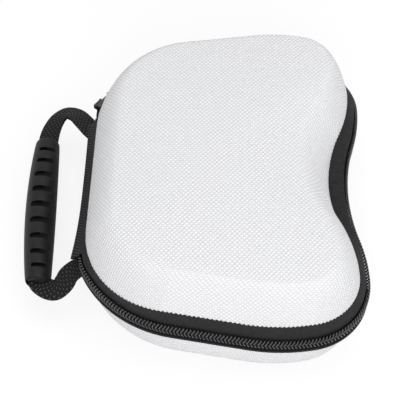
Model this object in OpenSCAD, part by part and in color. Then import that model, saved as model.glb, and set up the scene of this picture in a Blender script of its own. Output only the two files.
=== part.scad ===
// Zipped carrying case for a game controller: two moulded shells, a zip round three
// sides, a cloth spine on the fourth, and a webbing handle with a barrel grip.
// Origin: centre of the flat underside. X runs from the spine to the grip lobes,
// Y along the case, Z up. The case is symmetrical about the plane y = 0.

/* [Outline at the zip] */
// Length over the zip, along Y
case_l = 169.4; // [150:1:200]
// Depth over the zip, from spine to lobes
case_w = 134.6; // [120:1:160]
// Radius where the spine turns into the back curve
corner_r = 14; // [10:0.5:20]
// Angle turned by that corner
corner_turn = 26; // [20:1:32]
// Radius of the back curve
back_r = 58; // [45:1:65]
// Slope of the straight flank between back curve and lobe
flank_slope = 9; // [5:1:14]
// Radius of the shoulder before the lobe
shoulder_r = 85; // [60:1:110]
// Angle at which the shoulder meets the lobe
lobe_start = 12; // [8:1:20]
// Radius of the lobe
lobe_r = 32; // [26:1:38]
// Depth of the scoop between the lobes
scoop_depth = 7.4; // [4:0.2:12]
// Share of the scoop's side that bulges before it hollows
hip_share = 0.45; // [0.3:0.05:0.6]

/* [Shells] */
// Height of the base, up to the zip
base_h = 33; // [26:1:40]
// Height of the lid, above the zip
lid_h = 36; // [28:1:42]
// Thickness of the moulded wall
wall = 4; // [3:0.25:5]
// Rise of the lid's top at its middle
crown = 2; // [1:0.25:4]
// Roundness of the lid's shoulder, higher is squarer
lid_round = 2.3; // [2:0.1:3]
// Roundness of the base's shoulder, higher is squarer
base_round = 2.6; // [2:0.1:3]
// How far the lid's top edge stands in from its rim, on the long sides
lid_in_side = 10.6; // [7:0.2:12]
// The same at the lobes
lid_in_lobe = 9.8; // [7:0.2:12]
// The same at the spine
lid_in_spine = 4.6; // [3:0.2:7]
// How far the base's flat underside stands in from its rim
base_in = 12; // [8:0.5:14]
// Extra depth of the scoop at the lid's top edge
lid_scoop_more = 3.4; // [0:0.2:5]

/* [Zip] */
// Height of one row of teeth
row_h = 2.6; // [2.2:0.1:3]
// Gap between the two rows
row_gap = 1; // [0.9:0.05:1.4]
// How far the teeth stand out from the tape
tooth_out = 2.2; // [1.8:0.1:2.6]
// Depth of the groove between teeth
tooth_cut = 0.9; // [0.5:0.1:1.2]
// Distance from tooth to tooth
tooth_pitch = 3; // [2.6:0.2:6]
// Thickness of the zip tape
tape_t = 0.9; // [0.7:0.1:1.2]
// Height of the upper tape's top edge above the zip
upper_tape_h = 11; // [9:0.5:13]
// How far that edge drops in the scoop
tape_dip = 4; // [0:0.5:5]
// How far that edge stands in from the teeth
upper_tape_in = 4.7; // [4:0.1:6]
// The same in the depth of the scoop, past that
scoop_tape_more = 3.4; // [1:0.2:5]
// The same at the lobes, past that
lobe_tape_more = 2; // [0:0.2:3]
// Height of the lower tape, below the zip
lower_tape_h = 6.5; // [5.5:0.5:9]
// How far the lower tape's edge stands in from the teeth
lower_tape_in = 3.8; // [3.4:0.1:5]
// How far the lower tape's roll stands out from the tape, under the teeth
roll_out = 1.9; // [1:0.1:2.1]
// Gap between pieces that are sewn together
seam_gap = 0.15; // [0.1:0.05:0.25]

/* [Sliders] */
// Angle round the back curve at which the rear slider is parked
park_turn = 7.5; // [7:0.5:10]
// Length of a slider along the zip
slider_l = 8.6; // [7:0.2:9]
// Thickness of a slider's plates
plate_t = 1.2; // [1:0.1:1.4]
// Running clearance between slider and zip
slide_gap = 0.3; // [0.25:0.05:0.4]
// Thickness of the post between the two plates
post_t = 0.5; // [0.3:0.05:0.5]
// Diameter of the bar that carries the pull
bar_d = 1.3; // [1:0.1:1.6]
// Running clearance round that bar
bar_gap = 0.25; // [0.15:0.05:0.3]
// Length of the pull
pull_l = 19; // [14:1:24]
// Width of the pull
pull_w = 4.6; // [4:0.2:5]
// Thickness of the pull's tab
pull_t = 1.4; // [1:0.1:1.8]

/* [Handle] */
// Width of the webbing
web_w = 10; // [8:0.5:12]
// Thickness of the webbing
web_t = 1.8; // [1.4:0.1:2.2]
// Length of the grip
grip_l = 84; // [70:1:90]
// Diameter of the grip at its middle
grip_d = 15.2; // [14:0.2:18]
// Diameter of the grip at its ends
grip_end_d = 11.8; // [11:0.2:13]
// Height of the grip's bore
bore_h = 4.6; // [4:0.2:6]
// Clearance beside the webbing in the bore
bore_gap = 0.4; // [0.3:0.1:0.6]
// Distance from the spine's face to the grip's middle line
grip_out = 19; // [16:0.5:24]
// Depth of the grip's middle line below the zip
grip_drop = 15; // [12:0.5:20]
// How far the webbing's bends reach past the spine's ends, along Y
bend_out = 12; // [11:0.5:16]
// Room for each bend beyond the grip's end
bend_room = 9; // [8:0.5:12]
// Number of finger grooves on each face of the grip
groove_n = 9; // [5:1:11]
// Distance from groove to groove
groove_pitch = 8.6; // [7:0.1:9]
// Width of a groove
groove_w = 2.2; // [1.6:0.1:3]
// Depth of a groove
groove_depth = 2; // [1:0.1:2.4]

/* [Inside] */
// Width of the binding tape over the inner seams
binding_h = 7; // [5:0.5:10]
// Thickness of the binding tape
binding_t = 0.9; // [0.7:0.1:1.2]
// Thickness of the net
net_t = 0.8; // [0.6:0.1:1.2]
// Where the net's free edge lies, from the middle of the case
net_edge_x = 8; // [-10:1:20]
// Width of the elastic hem
hem_w = 8; // [6:0.5:12]
// Thickness of the elastic hem
hem_t = 2; // [1.6:0.1:2.6]

/* [Hidden] */
shell_white = [0.93, 0.93, 0.92];
cloth_black = [0.09, 0.09, 0.10];
tooth_black = [0.16, 0.16, 0.17];
metal_grey = [0.35, 0.35, 0.36];
grip_grey = [0.17, 0.17, 0.18];
zip_z = base_h;
spine_x = -case_w / 2;
lobe_x = case_w / 2;
back_turn = 90 - corner_turn - flank_slope;
shoulder_turn = flank_slope + lobe_start;

// An outline is held as [length, spine x, lobe x, corner r, back r, shoulder r,
// lobe r, scoop depth]; the same five arcs serve at every height.
seam = [case_l, spine_x, lobe_x, corner_r, back_r, shoulder_r, lobe_r, scoop_depth];
function stand_in(o, d) = [o[0] - 2 * d, o[1] + d, o[2] - d, o[3] - d, o[4] - d, o[5] - d,
                           o[6] - d, o[7]];
function between(o, p, u) = [for (i = [0:7]) o[i] * (1 - u) + p[i] * u];

upper_rim = [case_l - 2 * upper_tape_in, spine_x + upper_tape_in,
             lobe_x - upper_tape_in - lobe_tape_more, corner_r - 2, back_r - 4,
             shoulder_r - 5, lobe_r - 5, scoop_depth + scoop_tape_more];
lid_edge = [upper_rim[0] - 2 * lid_in_side, upper_rim[1] + lid_in_spine,
            upper_rim[2] - lid_in_lobe, corner_r + 6, back_r - 13, shoulder_r - 15,
            lobe_r - 12, scoop_depth + scoop_tape_more + lid_scoop_more];
lower_rim = [case_l - 2 * lower_tape_in, spine_x + lower_tape_in,
             lobe_x - lower_tape_in - lobe_tape_more / 2, corner_r - 2, back_r - 3,
             shoulder_r - 4, lobe_r - 3, scoop_depth + scoop_tape_more / 2];
base_edge = [lower_rim[0] - 2 * base_in, lower_rim[1] + base_in * 0.6,
             lower_rim[2] - base_in, corner_r + 6, back_r - 12, shoulder_r - 14,
             lobe_r - 13, scoop_depth + scoop_tape_more];

// Arc from heading h, turning clockwise by t on radius r.
function arc_dx(h, r, t) = r * (sin(h) - sin(h - t));
function arc_dy(h, r, t) = r * (cos(h - t) - cos(h));

// The far half of an outline as [radius, turn] pieces; radius 0 is a straight of
// the given length. The spine's and the flank's straights close the length and depth.
function half_path(o) =
    let (hc = 90 - corner_turn,
         flank = (o[2] - o[1] - arc_dx(90, o[3], corner_turn) - arc_dx(hc, o[4], back_turn)
                  - arc_dx(flank_slope, o[5], shoulder_turn)
                  - arc_dx(-lobe_start, o[6], 90 - lobe_start)) / cos(flank_slope),
         top = o[0] / 2,
         spine = top - arc_dy(90, o[3], corner_turn) - arc_dy(hc, o[4], back_turn)
                 - flank * sin(flank_slope) - arc_dy(flank_slope, o[5], flank_slope),
         lobe_y = top - o[5] * (1 - cos(lobe_start)) + arc_dy(-lobe_start, o[6], 90 - lobe_start),
         sweep = 2 * atan(o[7] / lobe_y),
         reach = lobe_y / sin(sweep))
    [[0, spine], [o[3], corner_turn], [o[4], back_turn], [0, flank],
     [o[5], shoulder_turn], [o[6], 90 - lobe_start], [reach * hip_share, sweep],
     [-reach * (1 - hip_share), -sweep]];

function piece_len(s) = s[0] == 0 ? s[1] : s[0] * s[1] * PI / 180;
function step_to(q, s, f) = s[0] == 0
    ? [q[0] + s[1] * f * cos(q[2]), q[1] + s[1] * f * sin(q[2]), q[2]]
    : [q[0] + arc_dx(q[2], s[0], s[1] * f), q[1] + arc_dy(q[2], s[0], s[1] * f),
       q[2] - s[1] * f];
function start_of(o, path, i) = i == 0 ? [o[1], 0, 90]
    : step_to(start_of(o, path, i - 1), path[i - 1], 1);

// Points per piece of the half outline.
piece_steps = [2, 3, 10, 2, 3, 7, 4, 4];
half_n = 35;
first_curve = 2;
function half_points(o) = let (path = half_path(o))
    [for (i = [0:7]) let (q = start_of(o, path, i))
        for (k = [0:piece_steps[i] - 1]) step_to(q, path[i], k / piece_steps[i])];
function scoop_point(o) = let (path = half_path(o)) step_to(start_of(o, path, 7), path[7], 1);

// Share of the scoop's drop at a point: 1 at the middle of the scoop, 0 outside it.
dip_reach = case_l * 0.3;
function dip_at(x, y) = x < 0 || abs(y) > dip_reach ? 0 : pow(cos(90 * y / dip_reach), 2);

// A closed ring of points on outline o at height z, lowered by dip in the scoop.
function ring(o, z, dip = 0) = let (h = half_points(o), m = scoop_point(o))
    [for (p = h) [p[0], p[1], z - dip * dip_at(p[0], p[1])],
     [m[0], 0, z - dip],
     for (i = [half_n - 1:-1:1]) [h[i][0], -h[i][1], z - dip * dip_at(h[i][0], h[i][1])]];
ring_n = 2 * half_n;

// Rings from an apex, over the outside, round the rim and up the inside to an apex.
module cup(rings, apex_out, apex_in) {
    n = len(rings);
    pts = [for (r = rings) for (p = r) p, apex_out, apex_in];
    faces = [
        for (i = [0:ring_n - 1]) let (j = (i + 1) % ring_n) [n * ring_n, j, i],
        for (k = [0:n - 2]) for (i = [0:ring_n - 1])
            let (j = (i + 1) % ring_n, a = k * ring_n + i, b = k * ring_n + j,
                 c = a + ring_n, d = b + ring_n)
            for (f = [[a, b, d], [a, d, c]]) f,
        for (i = [0:ring_n - 1]) let (j = (i + 1) % ring_n, a = (n - 1) * ring_n)
            [n * ring_n + 1, a + i, a + j]];
    polyhedron(pts, faces);
}

// A strip through sections of equal count, closed at both ends.
module strip(sections) {
    n = len(sections);
    m = len(sections[0]);
    pts = [for (s = sections) for (p = s) p];
    faces = [
        for (i = [1:m - 2]) [0, i, i + 1],
        for (k = [0:n - 2]) for (i = [0:m - 1])
            let (j = (i + 1) % m, a = k * m + i, b = k * m + j, c = a + m, d = b + m)
            for (f = [[a, c, d], [a, d, b]]) f,
        for (i = [1:m - 2]) [(n - 1) * m, (n - 1) * m + i + 1, (n - 1) * m + i]];
    polyhedron(pts, faces);
}

// The shell's section: height share v to inset share u, on a rounded shoulder.
function shoulder(v, roundness) = 1 - pow(1 - pow(v, roundness), 1 / roundness);
outer_steps = [0, 0.2, 0.4, 0.58, 0.72, 0.83, 0.91, 0.965, 1];
inner_steps = [0, 0.35, 0.65, 0.85, 0.96, 1];
cap_steps = [0.72, 0.4];
cap_x = -case_w * 0.04;
function toward(r, f, rise) = [for (p = r) [cap_x + (p[0] - cap_x) * f, p[1] * f, p[2] + rise * (1 - f * f)]];

// A moulded half: rim outline, edge outline, heights of rim and edge, crown and dip.
module half_shell(rim, edge, rim_z, edge_z, roundness, rise, dip) {
    side = edge_z > rim_z ? 1 : -1;
    top_out = ring(edge, edge_z);
    top_in = ring(stand_in(edge, wall), edge_z - side * wall);
    outer = [for (v = outer_steps) ring(between(rim, edge, shoulder(v, roundness)),
        rim_z + v * (edge_z - rim_z), dip * (1 - v))];
    inner = [for (v = inner_steps)
        ring(stand_in(between(rim, edge, shoulder(v, roundness)), wall),
            rim_z + v * (edge_z - side * wall - rim_z), dip * (1 - v))];
    rings = concat(
        [for (i = [len(cap_steps) - 1:-1:0]) toward(top_out, cap_steps[i], rise)],
        [for (i = [len(outer) - 1:-1:0]) outer[i]],
        inner,
        [for (f = cap_steps) toward(top_in, f, rise)]);
    apex_out = [cap_x, 0, edge_z + rise];
    apex_in = [cap_x, 0, edge_z - side * wall + rise];
    if (side > 0) cup(rings, apex_out, apex_in);
    else mirror([0, 0, 1]) cup([for (r = rings) [for (p = r) [p[0], p[1], -p[2]]]],
        [cap_x, 0, -apex_out[2]], [cap_x, 0, -apex_in[2]]);
}

module lower_shell() {
    color(shell_white)
    half_shell(lower_rim, base_edge, zip_z - lower_tape_h, 0, base_round, 0, 0);
}

module upper_shell() {
    color(shell_white)
    half_shell(upper_rim, lid_edge, zip_z + upper_tape_h, zip_z + lid_h - crown, lid_round,
        crown, tape_dip);
}

// Sections of a sewn band between two outlines, each with its drop in the scoop.
function band(low, low_z, high, high_z, t, low_dip = 0, high_dip = 0) =
    let (a = ring(low, low_z, low_dip), b = ring(high, high_z, high_dip),
         c = ring(stand_in(high, t), high_z, high_dip), d = ring(stand_in(low, t), low_z, low_dip))
    [for (i = [0:ring_n - 1]) [a[i], b[i], c[i], d[i]]];

// The zip tapes stand upright behind the teeth. The upper one leans to its rim from knee_z.
tape_seat = stand_in(seam, tooth_out + seam_gap);
slider_top = row_gap / 2 + row_h + slide_gap + plate_t;
raise_z = slider_top + slide_gap;
knee_z = raise_z + 0.2;
// Heights are above the zip, and the first raised_n sections clear the parked sliders.
module upper_zip_tape() {
    raised_n = piece_steps[1] + parked_steps;
    rim_z = upper_tape_h - seam_gap;
    low = ring(tape_seat, 0);
    low_in = ring(stand_in(tape_seat, tape_t), 0);
    high = ring(upper_rim, rim_z, tape_dip);
    high_in = ring(stand_in(upper_rim, tape_t), rim_z, tape_dip);
    color(cloth_black) translate([0, 0, zip_z])
    strip([for (i = [first_curve:ring_n - first_curve])
        let (z = i < first_curve + raised_n ? raise_z : row_gap / 2)
        [[low[i][0], low[i][1], z], [low[i][0], low[i][1], knee_z], high[i], high_in[i],
         [low_in[i][0], low_in[i][1], knee_z], [low_in[i][0], low_in[i][1], z]]]);
}

// Below the sliders the lower tape is rolled outwards, and its roll ends on the rim.
module lower_zip_tape() {
    seat_ring = ring(tape_seat, 0);
    seat_in = ring(stand_in(tape_seat, tape_t), 0);
    roll_ring = ring(stand_in(tape_seat, -roll_out), 0);
    foot = lower_tape_h - seam_gap;
    rim_ring = ring(lower_rim, foot);
    rim_in = ring(stand_in(lower_rim, tape_t), foot);
    color(cloth_black) translate([0, 0, zip_z]) mirror([0, 0, 1])
    strip([for (i = [first_curve:ring_n - first_curve])
        let (s = seat_ring[i], n = seat_in[i], r = roll_ring[i])
        [[s[0], s[1], row_gap / 2], [s[0], s[1], raise_z], [r[0], r[1], raise_z],
         [r[0], r[1], foot - seam_gap], rim_ring[i], rim_in[i], [n[0], n[1], knee_z],
         [n[0], n[1], row_gap / 2]]]);
}

// A place at distance s along the seam, measured from the middle of the spine.
seam_path = half_path(seam);
seam_half = [for (i = 0, t = 0; i < 8; t = t + piece_len(seam_path[i]), i = i + 1) t];
half_len = seam_half[7] + piece_len(seam_path[7]);
function piece_at(s) = max([for (i = [0:7]) s >= seam_half[i] ? i : 0]);
function far_place(s) = let (i = piece_at(s))
    step_to(start_of(seam, seam_path, i), seam_path[i],
        (s - seam_half[i]) / piece_len(seam_path[i]));
function seam_place(s) = s <= half_len ? far_place(s)
    : let (q = far_place(2 * half_len - s)) [q[0], -q[1], 180 - q[2]];
// Outward direction of travel heading h.
function outward(h) = [-sin(h), cos(h)];

// A row of teeth from s0 to s1, between heights z0 and z1.
module teeth_row(s0, s1, z0, z1, phase) {
    n = 2 * floor((s1 - s0) / tooth_pitch);
    step = (s1 - s0) / n;
    strip([for (i = [0:n])
        let (q = seam_place(s0 + i * step), o = outward(q[2]),
             cut = (i + phase) % 2 == 0 ? 0 : tooth_cut)
        [for (c = [[-tooth_out, z0], [-cut, z0], [-cut, z1], [-tooth_out, z1]])
            [q[0] + o[0] * c[0], q[1] + o[1] * c[0], c[1]]]]);
}
zip_start = seam_path[0][1] + 2;
zip_end = 2 * half_len - zip_start;

module lower_zip_teeth() {
    color(tooth_black)
    teeth_row(zip_start, zip_end, zip_z - row_gap / 2 - row_h, zip_z - row_gap / 2, 0);
}

module upper_zip_teeth() {
    color(tooth_black)
    teeth_row(parked_to, zip_end, zip_z + row_gap / 2, zip_z + row_gap / 2 + row_h, 1);
}

// The cloth spine folds on a line along its outer face, at the zip's height.
spine_face = spine_x - 0.8;
spine_t = 1;
spine_end_gap = 0.4;
function spine_reach(o) = half_path(o)[0][1] - spine_end_gap;
spine_half = spine_reach(tape_seat);
module spine_band(rim, rim_dz) {
    lean = rim[1] - spine_face;
    mid = [spine_face + lean * 0.3, spine_reach(between(tape_seat, rim, 0.55)), rim_dz * 0.55];
    strip([for (q = [[spine_face, spine_half, seam_gap], mid,
                     [rim[1], spine_reach(rim), rim_dz - seam_gap]])
        [[q[0], -q[1], q[2]], [q[0], q[1], q[2]], [q[0] + spine_t, q[1], q[2]],
         [q[0] + spine_t, -q[1], q[2]]]]);
}

module spine_tape_upper() {
    color(cloth_black) translate([0, 0, zip_z]) spine_band(upper_rim, upper_tape_h);
}

module spine_tape_lower() {
    color(cloth_black) translate([0, 0, zip_z]) mirror([0, 0, 1])
    spine_band(lower_rim, lower_tape_h);
}

// Sliders run on the back curve, about its centre.
back_start = start_of(seam, seam_path, 2);
back_c = [back_start[0] + back_r * sin(back_start[2]), back_start[1] - back_r * cos(back_start[2])];
slider_span = slider_l / back_r * 180 / PI;
rear_angle = 90 + back_start[2] - park_turn;
front_angle = rear_angle - slider_span - 1;
// The lid's teeth begin past the parked sliders, at a section of the tape.
back_step = back_turn / piece_steps[2];
parked_steps = ceil((90 + back_start[2] - front_angle + slider_span / 2 + back_step) / back_step);
parked_to = seam_half[2] + parked_steps * back_step * back_r * PI / 180;

// A ring segment about the back curve's centre, from radius r0 to r1 and z0 to z1.
module curve_plate(r0, r1, z0, z1, span) {
    rotate([0, 0, -span / 2]) rotate_extrude(angle = span, $fn = 96)
    translate([r0, z0]) square([r1 - r0, z1 - z0]);
}

tape_face_r = back_r - tooth_out - seam_gap;
tape_back_r = tape_face_r - tape_t;
plate_r = back_r + slide_gap;
bar_r = plate_r + plate_t + bar_d / 2 + bar_gap + pull_t * 0.7;
lug_l = 1.1;
bar_l = pull_w * 0.6 + 2 * bar_gap + 2 * lug_l;
module slider_body() {
    flange_z = row_gap / 2 + row_h + slide_gap;
    back_plate_r = tape_back_r - slide_gap;
    union() {
        curve_plate(plate_r, plate_r + plate_t, -slider_top, slider_top, slider_span);
        for (s = [-1, 1])
            curve_plate(tape_face_r + slide_gap, plate_r + plate_t / 2,
                s > 0 ? flange_z : -slider_top, s > 0 ? slider_top : -flange_z, slider_span);
        curve_plate(back_plate_r - plate_t, back_plate_r, -slider_top, slider_top, slider_span);
        curve_plate(back_plate_r - plate_t / 2, plate_r + plate_t / 2, -post_t / 2, post_t / 2,
            slider_span * 0.6);
        for (s = [-1, 1])
            translate([plate_r + plate_t / 2, s * (bar_l - lug_l) / 2 - lug_l / 2, -bar_d])
            cube([bar_r - plate_r - plate_t / 2 + bar_d, lug_l, 2 * bar_d]);
        translate([bar_r, 0, 0]) rotate([90, 0, 0])
        cylinder(d = bar_d, h = bar_l - lug_l, center = true, $fn = 32);
    }
}

// A pull hangs from the slider's bar: an eye, a neck and a tapered tab.
module pull_body() {
    eye_d = bar_d + 2 * bar_gap + 1.6;
    eye_w = pull_w * 0.6;
    translate([bar_r, 0, 0]) difference() {
        union() {
            rotate([90, 0, 0]) cylinder(d = eye_d, h = eye_w, center = true, $fn = 48);
            translate([0, 0, -pull_l / 2]) rotate([0, 90, 0])
            linear_extrude(pull_t, center = true)
            polygon([[-pull_l / 2 + 1, -eye_w / 2], [-pull_l / 2 + 4, -eye_w / 2],
                     [-pull_l / 2 + 7, -pull_w / 2], [pull_l / 2 - 1.5, -pull_w / 2],
                     [pull_l / 2, -pull_w / 2 + 1.5], [pull_l / 2, pull_w / 2 - 1.5],
                     [pull_l / 2 - 1.5, pull_w / 2], [-pull_l / 2 + 7, pull_w / 2],
                     [-pull_l / 2 + 4, eye_w / 2], [-pull_l / 2 + 1, eye_w / 2]]);
        }
        rotate([90, 0, 0]) cylinder(d = bar_d + 2 * bar_gap, h = eye_w + 2, center = true, $fn = 48);
        translate([0, 0, 3 - pull_l]) rotate([0, 90, 0])
        cylinder(d = 1.6, h = pull_t * 2, center = true, $fn = 32);
    }
}

module on_curve(angle) {
    translate([back_c[0], back_c[1], zip_z]) rotate([0, 0, angle]) children();
}

module slider_rear() { color(metal_grey) on_curve(rear_angle) slider_body(); }
module slider_front() { color(metal_grey) on_curve(front_angle) slider_body(); }
module pull_rear() { color(cloth_black) on_curve(rear_angle) pull_body(); }
module pull_front() { color(cloth_black) on_curve(front_angle) pull_body(); }

// The webbing's middle line on the far half. It is sewn flat against the base under the
// spine, and bends edgeways to the grip. The last number is its lean from upright: 90 is
// flat, and the bends' inner edges stand a little higher.
grip_x = spine_face - grip_out;
grip_z = zip_z - grip_drop;
bend_y = max(spine_half + bend_out, grip_l / 2 + bend_room);
root_x = lower_rim[1] - 2 * seam_gap;
root_z = zip_z - lower_tape_h - web_t / 2 - 2 * seam_gap;
web_line = [
    [root_x, spine_half - 0.4, root_z, 90],
    [root_x - 3.4, spine_half + 0.3, root_z, 90],
    [spine_face - 3.2, spine_half + 3.4, root_z - 0.1, 87],
    [spine_face - 6.9, spine_half + 8, root_z - 0.3, 80],
    [spine_face - 11.5, bend_y - 0.3, root_z - 0.8, 75],
    [grip_x + 2.7, bend_y - 1.2, root_z - 2.2, 77],
    [grip_x + 0.1, bend_y - 5.1, grip_z + 2.2, 84],
    [grip_x, bend_y - 9.1, grip_z + 0.6, 88],
    [grip_x, grip_l / 2 - 2, grip_z, 90],
    [grip_x, grip_l / 4, grip_z, 90],
    [grip_x, 0, grip_z, 90]];
web_n = len(web_line);
function curve_at(a, b, c, d, t) = 0.5 * (2 * b + (c - a) * t + (2 * a - 5 * b + 4 * c - d) * t * t
    + (3 * b - a - 3 * c + d) * t * t * t);
web_sub = 3;
web_half = [for (i = [0:web_n - 2]) for (k = [0:web_sub - 1])
        curve_at(web_line[max(0, i - 1)], web_line[i], web_line[i + 1],
            i + 2 < web_n ? web_line[i + 2] : web_line[i + 1], k / web_sub)];
web_route = concat(web_half, [web_line[web_n - 1]],
    [for (i = [len(web_half) - 1:-1:0]) [web_half[i][0], -web_half[i][1], web_half[i][2], web_half[i][3]]]);

module handle_webbing() {
    n = len(web_route);
    color(cloth_black) strip([for (i = [0:n - 1])
        let (p = web_route[i], a = web_route[max(0, i - 1)], b = web_route[min(n - 1, i + 1)],
             d = [b[0] - a[0], b[1] - a[1]], m = norm(d), side = [-d[1] / m, d[0] / m],
             wide = [side[0] * sin(p[3]), side[1] * sin(p[3]), cos(p[3])],
             thin = [side[0] * cos(p[3]), side[1] * cos(p[3]), -sin(p[3])])
        [for (c = [[-1, -1], [1, -1], [1, 1], [-1, 1]])
            [for (k = [0:2]) p[k] + wide[k] * c[0] * web_w / 2 + thin[k] * c[1] * web_t / 2]]]);
}

// The grip: a turned barrel with a flat bore for the webbing and grooves above and below.
module handle_grip() {
    sag = (grip_d - grip_end_d) / 2;
    barrel_r = (pow(grip_l / 2, 2) + sag * sag) / (2 * sag);
    end_round = 1.5;
    color(grip_grey) translate([grip_x, 0, grip_z]) difference() {
        rotate([90, 0, 0]) rotate_extrude($fn = 96)
        polygon(concat([[0, grip_l / 2], [0, -grip_l / 2]],
            [for (y = concat([-1, -0.97], [for (k = [0:11]) -0.88 + 0.16 * k], [0.97, 1]))
                [grip_d / 2 - barrel_r + sqrt(barrel_r * barrel_r - pow(y * grip_l / 2, 2))
                 - (abs(y) == 1 ? end_round : 0), y * grip_l / 2]]));
        cube([web_w + 2 * bore_gap, grip_l + 2, bore_h], center = true);
        for (i = [0:groove_n - 1]) let (y = (i - (groove_n - 1) / 2) * groove_pitch,
                r = grip_d / 2 - barrel_r + sqrt(barrel_r * barrel_r - y * y))
            for (s = [-1, 1]) translate([0, y, s * (r + r * 0.9 - groove_depth)])
            rotate([90, 0, 0]) cylinder(r = r * 0.9, h = groove_w, center = true, $fn = 64);
    }
}

// Bindings cover the raw seams inside, on the shells' inner faces.
module lower_binding() {
    top = zip_z - lower_tape_h - seam_gap;
    foot = shoulder(binding_h / (zip_z - lower_tape_h), base_round);
    color(cloth_black) strip(band(
        stand_in(between(lower_rim, base_edge, foot), wall + 2 * seam_gap), top - binding_h,
        stand_in(lower_rim, wall + 2 * seam_gap), top, binding_t));
}

module upper_binding() {
    foot = zip_z + upper_tape_h + seam_gap;
    v = binding_h / (lid_h - crown - wall - upper_tape_h);
    high = between(upper_rim, lid_edge, shoulder(v, lid_round));
    color(cloth_black) strip(band(stand_in(upper_rim, wall + 2 * seam_gap), foot,
        stand_in(high, wall + 2 * seam_gap), foot + binding_h, binding_t, tape_dip,
        tape_dip * (1 - v)));
}

// The net rests on the lid's binding and is sewn to it; the hem edges its open side.
net_z = zip_z + upper_tape_h + binding_h + 2 * seam_gap;
module lining_slab(x0, x1, t) {
    translate([0, 0, net_z]) intersection() {
        linear_extrude(t) polygon([for (p = ring(stand_in(between(upper_rim, lid_edge, 0.05),
            wall + 4 * seam_gap), 0)) [p[0], p[1]]]);
        translate([x0, -case_l, -1]) cube([x1 - x0, 2 * case_l, t + 2]);
    }
}

module net_pocket() {
    color(cloth_black) lining_slab(-case_w, net_edge_x, net_t);
}

module net_hem() {
    color(cloth_black) lining_slab(net_edge_x + seam_gap, net_edge_x + seam_gap + hem_w, hem_t);
}

lower_shell();
upper_shell();
lower_zip_tape();
upper_zip_tape();
lower_zip_teeth();
upper_zip_teeth();
spine_tape_lower();
spine_tape_upper();
slider_rear();
slider_front();
pull_rear();
pull_front();
handle_webbing();
handle_grip();
lower_binding();
upper_binding();
net_pocket();
net_hem();
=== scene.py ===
"""Zipped carrying case for a game controller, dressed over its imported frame.

The shells, tapes, coils and straps are lofted along the same outlines as the frame's solids.
Sizes are in millimetres and become metres when a mesh is made.
"""
import math

import bpy
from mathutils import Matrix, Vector


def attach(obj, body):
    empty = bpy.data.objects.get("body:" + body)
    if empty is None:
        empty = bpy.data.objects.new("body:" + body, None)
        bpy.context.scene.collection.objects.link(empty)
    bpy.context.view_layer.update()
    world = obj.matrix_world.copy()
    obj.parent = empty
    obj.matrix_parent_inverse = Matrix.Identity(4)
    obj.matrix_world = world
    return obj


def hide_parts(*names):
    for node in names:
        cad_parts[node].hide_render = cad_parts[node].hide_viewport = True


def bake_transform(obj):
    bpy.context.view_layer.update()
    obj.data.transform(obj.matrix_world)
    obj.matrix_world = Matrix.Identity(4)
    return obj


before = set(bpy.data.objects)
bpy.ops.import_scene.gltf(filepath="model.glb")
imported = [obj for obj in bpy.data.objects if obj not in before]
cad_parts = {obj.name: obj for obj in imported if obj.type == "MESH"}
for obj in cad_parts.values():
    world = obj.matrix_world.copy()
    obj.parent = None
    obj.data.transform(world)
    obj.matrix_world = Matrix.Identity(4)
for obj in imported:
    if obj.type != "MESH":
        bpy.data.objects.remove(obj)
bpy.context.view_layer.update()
bpy.ops.object.select_all(action="DESELECT")
MM = 0.001

# Driving sizes, in millimetres, as the case is made.
CASE_L, CASE_W = 169.4, 134.6
CORNER_R, CORNER_TURN = 14.0, 26.0
BACK_R, FLANK_SLOPE = 58.0, 9.0
SHOULDER_R, LOBE_START, LOBE_R = 85.0, 12.0, 32.0
SCOOP_DEPTH, HIP_SHARE = 7.4, 0.45
ZIP_Z, LID_H, WALL, CROWN = 33.0, 36.0, 4.0, 2.0
LID_ROUND, BASE_ROUND = 2.3, 2.6
UPPER_TAPE_H, TAPE_DIP, LOWER_TAPE_H = 11.0, 4.0, 6.5
ROW_H, ROW_GAP, TOOTH_OUT, TAPE_T, SEAM_GAP = 2.6, 1.0, 2.2, 0.9, 0.15
RAISE_Z, KNEE_Z = 4.9, 5.1
ROLL_OUT = 1.9
SPINE_X, LOBE_X = -CASE_W / 2, CASE_W / 2
BACK_TURN = 90 - CORNER_TURN - FLANK_SLOPE
SHOULDER_TURN = FLANK_SLOPE + LOBE_START
CAP_X = -CASE_W * 0.04

# An outline is [length, spine x, lobe x, corner r, back r, shoulder r, lobe r, scoop depth].
SEAM = [CASE_L, SPINE_X, LOBE_X, CORNER_R, BACK_R, SHOULDER_R, LOBE_R, SCOOP_DEPTH]
UPPER_RIM = [160, SPINE_X + 4.7, LOBE_X - 6.7, 12, 54, 80, 27, 10.8]
LID_EDGE = [138.8, SPINE_X + 9.3, LOBE_X - 16.5, 20, 45, 70, 20, 14.2]
LOWER_RIM = [161.8, SPINE_X + 3.8, LOBE_X - 4.8, 12, 55, 81, 29, 9.1]
BASE_EDGE = [137.8, SPINE_X + 11, LOBE_X - 16.8, 20, 46, 71, 19, 10.8]
# The laminated lid settles squarer at its rim and leans in more than the frame's solid.
CLOTH_RIM = [162.1, -63.5, 61.2, 40.7, 42.8, 87.2, 25.3, 11.3]
CLOTH_EDGE = [145.1, -48.4, 48.1, 29.1, 36.1, 64.6, 13.1, 16.6]
LID_TAPER, LID_RIM_WALL = 0.45, 2.4


def stand_in(o, d):
    """The outline o moved inwards by d."""
    return [o[0] - 2 * d, o[1] + d, o[2] - d, o[3] - d, o[4] - d, o[5] - d, o[6] - d, o[7]]


def between(o, p, u):
    """The outline that lies a share u of the way from o to p."""
    return [a * (1 - u) + b * u for a, b in zip(o, p)]


def sind(a):
    return math.sin(math.radians(a))


def cosd(a):
    return math.cos(math.radians(a))


def arc_dx(h, r, t):
    return r * (sind(h) - sind(h - t))


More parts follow.
